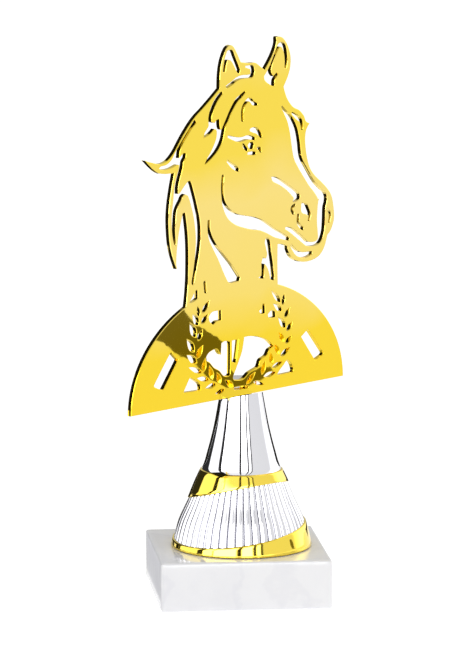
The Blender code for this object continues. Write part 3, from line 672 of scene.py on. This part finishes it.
def strokeShape(stroke):
    # outline of a brush stroke with rounded ends
    line = smoothLine(stroke, plate["steps"]["stroke"])
    left, right, startCap, endCap = [], [], [], []
    for index, (across, up, width) in enumerate(line):
        before, after = line[max(index - 1, 0)], line[min(index + 1, len(line) - 1)]
        along = Vector((after[0] - before[0], after[1] - before[1])).normalized()
        side = Vector((-along.y, along.x)) * width / 2
        middle = Vector((across, up))
        left.append(middle + side)
        right.append(middle - side)
        if index == 0:
            startCap = [middle - along * width / 2 * math.sin(turn) - side * math.cos(turn)
                        for turn in plate["capTurns"]]
        if index == len(line) - 1:
            endCap = [middle + along * width / 2 * math.sin(turn) + side * math.cos(turn)
                      for turn in plate["capTurns"]]
    return [tuple(point) for point in left + endCap + right[::-1] + startCap]


def turnAt(before, point, after):
    first = Vector(point) - Vector(before)
    second = Vector(after) - Vector(point)
    return math.degrees(first.angle(second, 0))


def softened(shape):
    # smooth line round a closed cut, kept sharp at its real corners
    count = len(shape)
    turns = [turnAt(shape[index - 1], shape[index], shape[(index + 1) % count])
             for index in range(count)]
    corners = [index for index in range(count) if turns[index] > plate["sharpTurn"]]
    if not corners:
        corners = [0]
    closed = []
    for start, end in zip(corners, corners[1:] + [corners[0] + count]):
        run = [shape[index % count] for index in range(start, end + 1)]
        closed += smoothLine(run, plate["steps"]["cut"])[:-1]
    return closed


def leafShape(leaf):
    root, tip = Vector(leaf[0:2]), Vector(leaf[2:4])
    along = tip - root
    side = Vector((-along.y, along.x)).normalized() * leaf[4] / 2
    steps = plate["steps"]["leaf"]
    shares = [step / steps for step in range(1, steps)]
    full = [math.sin(math.pi * share ** plate["leafFullness"]) for share in shares]
    left = [root + along * share + side * fullness for share, fullness in zip(shares, full)]
    right = [root + along * share - side * fullness for share, fullness in zip(shares, full)]
    return [tuple(point) for point in [root] + left + [tip] + right[::-1]]


def thinned(loop):
    # drops points that lie almost on top of each other
    closest = plate["closestPoints"]
    kept = [loop[0]]
    for point in loop[1:]:
        if (Vector(point) - Vector(kept[-1])).length > closest:
            kept.append(point)
    if (Vector(kept[0]) - Vector(kept[-1])).length <= closest:
        kept.pop()
    return kept


def signedArea(loop):
    return sum(a[0] * b[1] - b[0] * a[1] for a, b in zip(loop, loop[1:] + loop[:1])) / 2


def plateLoops():
    # the outline runs anticlockwise and each cut clockwise, so the metal is always on the left
    loops = [plateOutline()]
    loops += [strokeShape(stroke) for stroke in strokes.values()]
    loops += [softened(shape) for shape in closedCuts.values()]
    loops += [leafShape(leaf) for leaf in leaves + carvedLeaves]
    turned = []
    for number, loop in enumerate(loops):
        loop = thinned(loop)
        anticlockwise = signedArea(loop) > 0
        turned.append(loop if anticlockwise == (number == 0) else loop[::-1])
    return turned


def inset(loop, amount):
    # each point moves into the metal, square to the edge, with mitred corners
    moved = []
    count = len(loop)
    for index in range(count):
        before, point, after = (Vector(loop[index - 1]), Vector(loop[index]),
                                Vector(loop[(index + 1) % count]))
        first, second = (point - before).normalized(), (after - point).normalized()
        normalA, normalB = Vector((-first.y, first.x)), Vector((-second.y, second.x))
        miter = (normalA + normalB) / max(1 + normalA.dot(normalB), plate["miterLimit"])
        moved.append(tuple(point + miter * amount))
    return moved


def plateRings():
    # (depth from the middle, inset) from the front face round the edge to the back face
    half = plate["thickness"] / mm / 2
    radius, sunk = plate["edgeRadius"], plate["wallInset"]
    front = [(half - radius * (1 - math.cos(turn)), sunk + radius * (1 - math.sin(turn)))
             for turn in (0, math.pi / 8, math.pi / 4, 3 * math.pi / 8, math.pi / 2)]
    front.append((half - radius - plate["edgeFlat"], sunk))
    back = [(-depth, amount) for depth, amount in reversed(front[:-1])]
    seamStart, ridge, seamEnd = plate["seam"]
    return front + [(seamStart, sunk), (ridge, 0), (seamEnd, sunk)] + back


def carvedIn(points, depth):
    # smaller with the depth, about the middle of the leaf
    front = plate["thickness"] / mm / 2 - plate["edgeRadius"]
    size = 1 - plate["leafTaper"] * max(0, front - depth) / (2 * front)
    middle = sum((Vector(point) for point in points), Vector((0, 0))) / len(points)
    return [tuple(middle + (Vector(point) - middle) * size) for point in points]


def makePlate(gold):
    loops = plateLoops()
    rings = plateRings()
    acrossScale = plate["width"] / (2 * plate["discHalfWidth"])
    upScale = plate["height"] / plate["drawnHeight"]
    work = bmesh.new()
    frontLoops, backLoops = [], []
    firstCarved = len(loops) - len(carvedLeaves)
    for number, loop in enumerate(loops):
        ringVerts = []
        for depth, amount in rings:
            points = inset(loop, amount)
            if number >= firstCarved:
                points = carvedIn(points, depth)
            ringVerts.append([work.verts.new((across * acrossScale, -depth * mm, up * upScale))
                              for across, up in points])
        for ring, nextRing in zip(ringVerts, ringVerts[1:]):
            for index in range(len(ring)):
                face = work.faces.new((ring[index - 1], nextRing[index - 1],
                                       nextRing[index], ring[index]))
                face.smooth = True
        frontLoops.append(ringVerts[0])
        backLoops.append(ringVerts[-1])
    for capLoops, facing in ((frontLoops, 1), (backLoops, -1)):
        points = [vert for capLoop in capLoops for vert in capLoop]
        flat = [[Vector((vert.co.x, vert.co.z, 0)) for vert in capLoop] for capLoop in capLoops]
        for triangle in geometry.tessellate_polygon(flat):
            corners = [points[index] for index in triangle]
            normal = (corners[1].co - corners[0].co).cross(corners[2].co - corners[0].co)
            if -normal.y * facing < 0:
                corners.reverse()
            work.faces.new(corners).smooth = True
    work.verts.index_update()
    frontVerts = {vert.index for capLoop in frontLoops for vert in capLoop}
    backVerts = {vert.index for capLoop in backLoops for vert in capLoop}
    mesh = bpy.data.meshes.new("figurePlate")
    work.to_mesh(mesh)
    work.free()
    mesh.set_sharp_from_angle(angle=math.radians(plate["sharpEdge"]))
    mesh.transform(Matrix.Translation((0, 0, plateBox[0].z))
                   @ Matrix.Rotation(plate["turn"], 4, "Z"))
    # exact directions on the flat faces, where thin triangles would streak the mirror image
    mesh.normals_split_custom_set([
        plateFacing if loop.vertex_index in frontVerts
        else -plateFacing if loop.vertex_index in backVerts else Vector((0, 0, 0))
        for loop in mesh.loops])
    mesh.materials.append(gold)
    print("plate:", len(loops), "loops,", len(mesh.polygons), "faces")
    return dressed("horse_plate", mesh, "figure_plate")


# Plated finishes

plating = {
    # the tone ramp runs from the height "from" to the height "to"; on the figure plate it is
    # painted reflection, bands of paler and deeper gold up its height, and in the rib valleys it
    # is painted shade;
    # roughness is lowest and highest, waves are scale and strength of the long unevenness that the
    # mirror image shows
    "plate": {"from": 82 * mm, "to": 230 * mm, "roughness": (0.012, 0.03), "waves": (55, 0.05),
              "tonesAndPaintedLight": [(0.0, (0.88, 0.63, 0.035)), (0.16, (0.87, 0.63, 0.035)),
                        (0.3, (0.87, 0.67, 0.15)), (0.55, (0.87, 0.68, 0.2)),
                        (0.7, (0.86, 0.65, 0.075)), (0.85, (0.86, 0.65, 0.075)),
                        (1.0, (0.86, 0.67, 0.16))]},
    "bands": {"from": 20 * mm, "to": 53 * mm, "roughness": (0.04, 0.08), "waves": (90, 0.04),
              "tonesAndPaintedLight": [(0.0, (1.0, 0.77, 0.1)), (1.0, (0.98, 0.74, 0.1))]},
    # painted shade: dark grey in the valleys between the ribs
    "valleyShades": {"from": 20 * mm, "to": 90 * mm, "roughness": (0.1, 0.2), "waves": (90, 0.04),
                "tonesAndPaintedLight": [(0.0, (0.26, 0.26, 0.29)), (1.0, (0.34, 0.34, 0.37))]},
    "silver": {"from": 20 * mm, "to": 90 * mm, "roughness": (0.03, 0.07), "waves": (90, 0.04),
               "tonesAndPaintedLight": [(0.0, (0.79, 0.79, 0.83)), (0.5, (0.81, 0.81, 0.84)),
                         (1.0, (0.79, 0.79, 0.83))]},
}


platingWear = {
    "cloud": (26, 2, 0.5),  # scale, detail and roughness of the noise
    "drift": 0.3,
    "rubbed": (140, 3, 0.6),
    "waveDetail": (1.5, 0.45),
    "waveDepth": 0.4 * mm,
}


def platedMaterial(name, look):
    material, nodes, links, shader = newMaterial(name)
    where = nodes.new("ShaderNodeTexCoord").outputs["Object"]
    shader.inputs["Metallic"].default_value = 1
    parts = nodes.new("ShaderNodeSeparateXYZ")
    links.new(where, parts.inputs["Vector"])
    rise = nodes.new("ShaderNodeMapRange")
    rise.inputs["From Min"].default_value = look["from"]
    rise.inputs["From Max"].default_value = look["to"]
    links.new(parts.outputs["Z"], rise.inputs["Value"])
    cloud = noiseNode(nodes, links, where, *platingWear["cloud"])
    drift = nodes.new("ShaderNodeMath")  # the tone wanders a little from its height
    drift.operation = "MULTIPLY_ADD"
    drift.inputs[1].default_value = platingWear["drift"]
    drift.inputs[2].default_value = -platingWear["drift"] / 2
    links.new(cloud.outputs["Fac"], drift.inputs[0])
    place = nodes.new("ShaderNodeMath")
    links.new(rise.outputs["Result"], place.inputs[0])
    links.new(drift.outputs["Value"], place.inputs[1])
    # base colour from the height ramp: painted reflection on the plate, painted shade in the rib
    # valleys, the metal's own tone on the bands and the silver
    colour = ramp(nodes, look["tonesAndPaintedLight"])
    links.new(place.outputs["Value"], colour.inputs["Fac"])
    links.new(colour.outputs["Color"], shader.inputs["Base Color"])
    rubbed = noiseNode(nodes, links, where, *platingWear["rubbed"])
    polish = ramp(nodes, [(0.3, look["roughness"][0]), (0.7, look["roughness"][1])])
    links.new(rubbed.outputs["Fac"], polish.inputs["Fac"])
    links.new(polish.outputs["Color"], shader.inputs["Roughness"])
    waveScale, waveStrength = look["waves"]
    waves = noiseNode(nodes, links, where, waveScale, *platingWear["waveDetail"])
    addBump(nodes, links, shader, waves, waveStrength, platingWear["waveDepth"])
    return material


# Studio

studio = {
    "floorHalfSize": 6,
    "floorColour": 0.8,
    "floorGlow": 0.44,
    # (azimuth from the front, growing to the right, brightness) round the horizon
    "walls": [(-180, 0.56), (-170, 0.56), (-165, 0.03), (-126, 0.03), (-124, 1.5), (-84, 1.5),
              (-83, 0.03), (-73, 0.03), (-72, 4), (-56, 4.5), (-55, 0.4), (-53, 0.4), (-52, 6),
              (-16, 6), (-14, 1.3), (-12, 0.03), (-6, 0.03), (-5, 6), (12, 6), (13, 0.06),
              (19, 0.06), (20, 4), (25, 4), (26, 0.08), (30, 0.08), (31, 0.92), (92, 0.9),
              (112, 2.5), (146, 1.1), (160, 0.56), (180, 0.56)],
    # the same for the stone, which only takes the soft light
    "softWalls": [(-180, 0.7), (-120, 0.65), (-70, 0.85), (-30, 1.02), (30, 1.02), (90, 0.95),
                  (180, 0.7)],
    # heights in the sky, 0 level and 1 overhead
    "lampTop": [(0.53, 8), (0.6, 1.15)],  # brightest that the panels may be there
    "wallTop": (0.88, 0.97),
    "overhead": 0.62,
}


def makeWorld():
    world = bpy.data.worlds.new("studio")
    bpy.context.scene.world = world
    world.use_nodes = True
    nodes, links = world.node_tree.nodes, world.node_tree.links
    nodes.clear()
    direction = nodes.new("ShaderNodeTexCoord").outputs["Generated"]
    parts = nodes.new("ShaderNodeSeparateXYZ")
    links.new(direction, parts.inputs["Vector"])
    back = nodes.new("ShaderNodeMath")
    back.operation = "MULTIPLY"
    back.inputs[1].default_value = -1
    links.new(parts.outputs["Y"], back.inputs[0])
    azimuth = nodes.new("ShaderNodeMath")
    azimuth.operation = "ARCTAN2"
    links.new(parts.outputs["X"], azimuth.inputs[0])
    links.new(back.outputs["Value"], azimuth.inputs[1])
    share = nodes.new("ShaderNodeMapRange")
    share.inputs["From Min"].default_value = -math.pi
    share.inputs["From Max"].default_value = math.pi
    links.new(azimuth.outputs["Value"], share.inputs["Value"])
    walls = ramp(nodes, [((angle + 180) / 360, level) for angle, level in studio["walls"]])
    softWalls = ramp(nodes, [((angle + 180) / 360, level) for angle, level in studio["softWalls"]])
    for wallRamp in (walls, softWalls):
        links.new(share.outputs["Result"], wallRamp.inputs["Fac"])
    rays = nodes.new("ShaderNodeLightPath")
    level = colourMix(nodes)
    links.new(rays.outputs["Is Glossy Ray"], level.inputs["Factor"])
    links.new(softWalls.outputs["Color"], level.inputs["A"])
    links.new(walls.outputs["Color"], level.inputs["B"])
    lampTop = ramp(nodes, studio["lampTop"])
    links.new(parts.outputs["Z"], lampTop.inputs["Fac"])
    limited = colourMix(nodes, "DARKEN")
    limited.inputs["Factor"].default_value = 1
    links.new(level.outputs["Result"], limited.inputs["A"])
    links.new(lampTop.outputs["Color"], limited.inputs["B"])
    low, high = studio["wallTop"]
    rise = ramp(nodes, [(0, 0), (low, 0), (high, 1)])
    links.new(parts.outputs["Z"], rise.inputs["Fac"])
    around = colourMix(nodes)
    around.inputs["B"].default_value = (studio["overhead"],) * 3 + (1,)
    links.new(rise.outputs["Color"], around.inputs["Factor"])
    links.new(limited.outputs["Result"], around.inputs["A"])
    seen = colourMix(nodes)  # the camera itself sees plain white
    seen.inputs["B"].default_value = (1, 1, 1, 1)
    links.new(rays.outputs["Is Camera Ray"], seen.inputs["Factor"])
    links.new(around.outputs["Result"], seen.inputs["A"])
    background = nodes.new("ShaderNodeBackground")
    links.new(seen.outputs["Result"], background.inputs["Color"])
    output = nodes.new("ShaderNodeOutputWorld")
    links.new(background.outputs["Background"], output.inputs["Surface"])


def makeFloor():
    size = studio["floorHalfSize"]
    mesh = bpy.data.meshes.new("floor")
    mesh.from_pydata([(-size, -size, 0), (size, -size, 0), (size, size, 0), (-size, size, 0)], [],
                     [(0, 1, 2, 3)])
    material, *_, shader = newMaterial("pale floor")
    shader.inputs["Base Color"].default_value = (studio["floorColour"],) * 3 + (1,)
    shader.inputs["Roughness"].default_value = 0.9
    shader.inputs["Specular IOR Level"].default_value = 0
    shader.inputs["Emission Color"].default_value = (1, 1, 1, 1)
    shader.inputs["Emission Strength"].default_value = studio["floorGlow"]
    mesh.materials.append(material)
    staged("floor", mesh)


# Dark and bright cards that only the mirror finishes see

cards = {
    "dark": (0.012, 0.011, 0.008),
    "olive": (0.19, 0.17, 0.05),
    "bright": (1.9, 1.87, 1.84),
    # grey of the card that stands in for the floor's shadow beside the marble block
    "grey": (0.5, 0.5, 0.53),
    "lift": 2 * mm,  # above the floor
    # (azimuth, nearest edge, farthest edge in metres) of the cards that lie on the floor
    "darkFloor": [(-80, 0.1, 4.5), (-90, 0.075, 4.5), (-94.5, 0.075, 4.5), (-95.5, 0.075, 0.3),
                  (-107.5, 0.08, 0.3), (-108.5, 0.08, 4.5), (-126, 0.1, 4.5), (-137.5, 0.13, 4.5),
                  (-138.5, 0.13, 0.3), (-148, 0.14, 0.28), (-149.5, 0.15, 4.5),
                  (-172, 0.28, 4.5), (-176, 0.28, 0.5),
                  (-200, 0.25, 0.5), (-204, 0.25, 4.5), (-222, 0.25, 4.5)],
    "farFloor": [(azimuth, 0.88, 4.5) for azimuth in (-94, -110, -125, -137, -150)],
    "brightFloor": [(azimuth, 0.2, 1.7) for azimuth in (46, 20, -5, -30, -55, -78)],
    # corners of the cards left of the trophy, of its plate's end, and of the grey card beside the
    # marble block, which paints the floor's shadow into the block's reflection
    "side": [(-0.09, -0.045, 0.12), (-0.09, 0.2, 0.12), (-0.09, 0.2, 0.6), (-0.09, -0.045, 0.6)],
    "end": [(-0.052, -0.0373, 0.084), (-0.068, -0.0467, 0.084), (-0.068, -0.0467, 0.108),
            (-0.052, -0.0373, 0.108)],
    "floorShadow": [(-0.072, -0.06, 0.001), (-0.0362, -0.06, 0.001), (-0.0362, 0.25, 0.001),
               (-0.072, 0.25, 0.001)],
    "stand": 0.3,  # metres to the right, where the olive card stands
    # outline of the dark reflection on the plate, (across, up) in the plate's drawing
    "reflection": [
        (-32.2, 38.6), (-29.6, 36.2), (-28.5, 35.1), (-26.9, 34.1), (-26.3, 32.5), (-23.9, 32),
        (-22.6, 31.1), (-21, 30.6), (-19.9, 29.4), (-17.7, 28.6), (-15.9, 27.3), (-13.5, 26.6),
        (-12.1, 25.1), (-9.7, 23.8), (-8.8, 22.6), (-8.2, 20.3), (-7.3, 17.6), (-6.1, 14.3),
        (-4.9, 11.5), (-2.5, 9.3), (0.3, 8.1), (3.3, 8.5), (6.3, 9.4), (10.1, 9.7), (12.4, 10.5),
        (15.4, 9.9), (18.5, 10), (20, 8.2), (17.9, 6.6), (14.7, 5.8), (12.4, 4.8), (9.4, 4.4),
        (6.3, 3.5), (3.3, 3.7), (0.3, 3.3), (-3.5, 3.4), (-7.3, 4.3), (-11, 6.1), (-14.8, 8.1),
        (-17.4, 9), (-20, 10.6), (-22.2, 12.6), (-24, 13.9), (-25.5, 15.5), (-27.2, 17.4),
        (-28.7, 18.8), (-31.1, 19.5), (-33.3, 20.7), (-35, 20.7), (-36.9, 22.4), (-38.7, 23),
        (-40.3, 24.5), (-41.9, 25.9), (-43.7, 26.4), (-45.4, 28), (-47.2, 28.6), (-53, 30.3),
        (-53, 47), (-36, 47)],
}


def glossyCard(name, corners, glow):
    mesh = bpy.data.meshes.new(name)
    mesh.from_pydata(corners, [], [tuple(range(len(corners)))])
    material, *_, shader = newMaterial(name)
    shader.inputs["Base Color"].default_value = (0, 0, 0, 1)
    shader.inputs["Roughness"].default_value = 1
    shader.inputs["Specular IOR Level"].default_value = 0
    shader.inputs["Emission Color"].default_value = (*glow, 1)
    shader.inputs["Emission Strength"].default_value = 1
    mesh.materials.append(material)
    card = staged(name, mesh)
    card.visible_camera = False
    card.visible_diffuse = False
    card.visible_shadow = False


def floorSector(edge):
    near, far = [], []
    for azimuth, *reach in edge:
        angle = math.radians(azimuth)
        for line, radius in zip((near, far), reach):
            line.append((radius * math.sin(angle), -radius * math.cos(angle), cards["lift"]))
    return near + far[::-1]


def makeCards(eye):
    glossyCard("darkFloorCard", floorSector(cards["darkFloor"]), cards["dark"])
    glossyCard("farFloorCard", floorSector(cards["farFloor"]), cards["dark"])
    glossyCard("brightFloorCard", floorSector(cards["brightFloor"]), cards["bright"])
    glossyCard("sideCard", cards["side"], cards["dark"])
    glossyCard("endCard", cards["end"], cards["dark"])
    # painted shadow: a grey card on the floor by the block, seen only in the block's reflection
    glossyCard("floorShadowCard", cards["floorShadow"], cards["grey"])
    # the camera's lines of sight are mirrored in the plate's face and end on a card to its right
    corners = []
    for across, up in cards["reflection"]:
        spot = (plateAcross * across * mm + plateFacing * plate["thickness"] / 2
                + Vector((0, 0, plateBox[0].z + up * mm)))
        sight = (spot - eye).normalized()
        sight -= 2 * sight.dot(plateFacing) * plateFacing
        corners.append(spot + sight * (cards["stand"] - spot.x) / sight.x)
    glossyCard("standingCard", corners, cards["olive"])


# Camera on the photograph's line of sight

cameraLook = {
    "azimuth": -6.1,
    "elevation": 9.55,
    "distance": 2.0,
    "lens": 263.5,
    "sensor": 36,
    "clipEnd": 30,
    "aimHeight": 120 * mm,
    "frameHeight": 666,
    "shiftPixels": (8.8, -27.0),
}


def makeCamera():
    data = bpy.data.cameras.new("camera")
    data.lens = cameraLook["lens"]
    data.sensor_width = cameraLook["sensor"]
    data.clip_end = cameraLook["clipEnd"]
    camera = bpy.data.objects.new("camera", data)
    bpy.context.scene.collection.objects.link(camera)
    azimuth = math.radians(cameraLook["azimuth"])
    elevation = math.radians(cameraLook["elevation"])
    back = Vector((math.sin(azimuth) * math.cos(elevation),
                   -math.cos(azimuth) * math.cos(elevation), math.sin(elevation)))
    right = Vector((0, 0, 1)).cross(back).normalized()
    up = back.cross(right)
    # metres a pixel at the trophy
    pixel = cameraLook["distance"] * data.sensor_width / (data.lens * cameraLook["frameHeight"])
    across, down = cameraLook["shiftPixels"]
    aim = Vector((0, 0, cameraLook["aimHeight"])) - right * across * pixel + up * down * pixel
    camera.location = aim + back * cameraLook["distance"]
    camera.rotation_euler = back.to_track_quat("Z", "Y").to_euler()
    bpy.context.scene.camera = camera


silverPlating = platedMaterial("silver plating", plating["silver"])
goldBands = platedMaterial("gold bands", plating["bands"])
goldPlatingPaintedReflection = platedMaterial("gold plating with painted reflection", plating["plate"])
# dark grey finish for the rib valleys: painted shade
valleyShadePlating = platedMaterial("painted shade in the rib valleys", plating["valleyShades"])

makeStoneBase().data.materials.append(marbleMaterial())
print("marble block done")
makeRiser(silverPlating, goldBands, valleyShadePlating)
print("riser done")
makePlate(goldPlatingPaintedReflection)
print("figure plate done")
makeWorld()
makeFloor()
makeCamera()
makeCards(bpy.context.scene.camera.location)
bpy.context.scene.view_settings.view_transform = "Standard"
print("studio done")
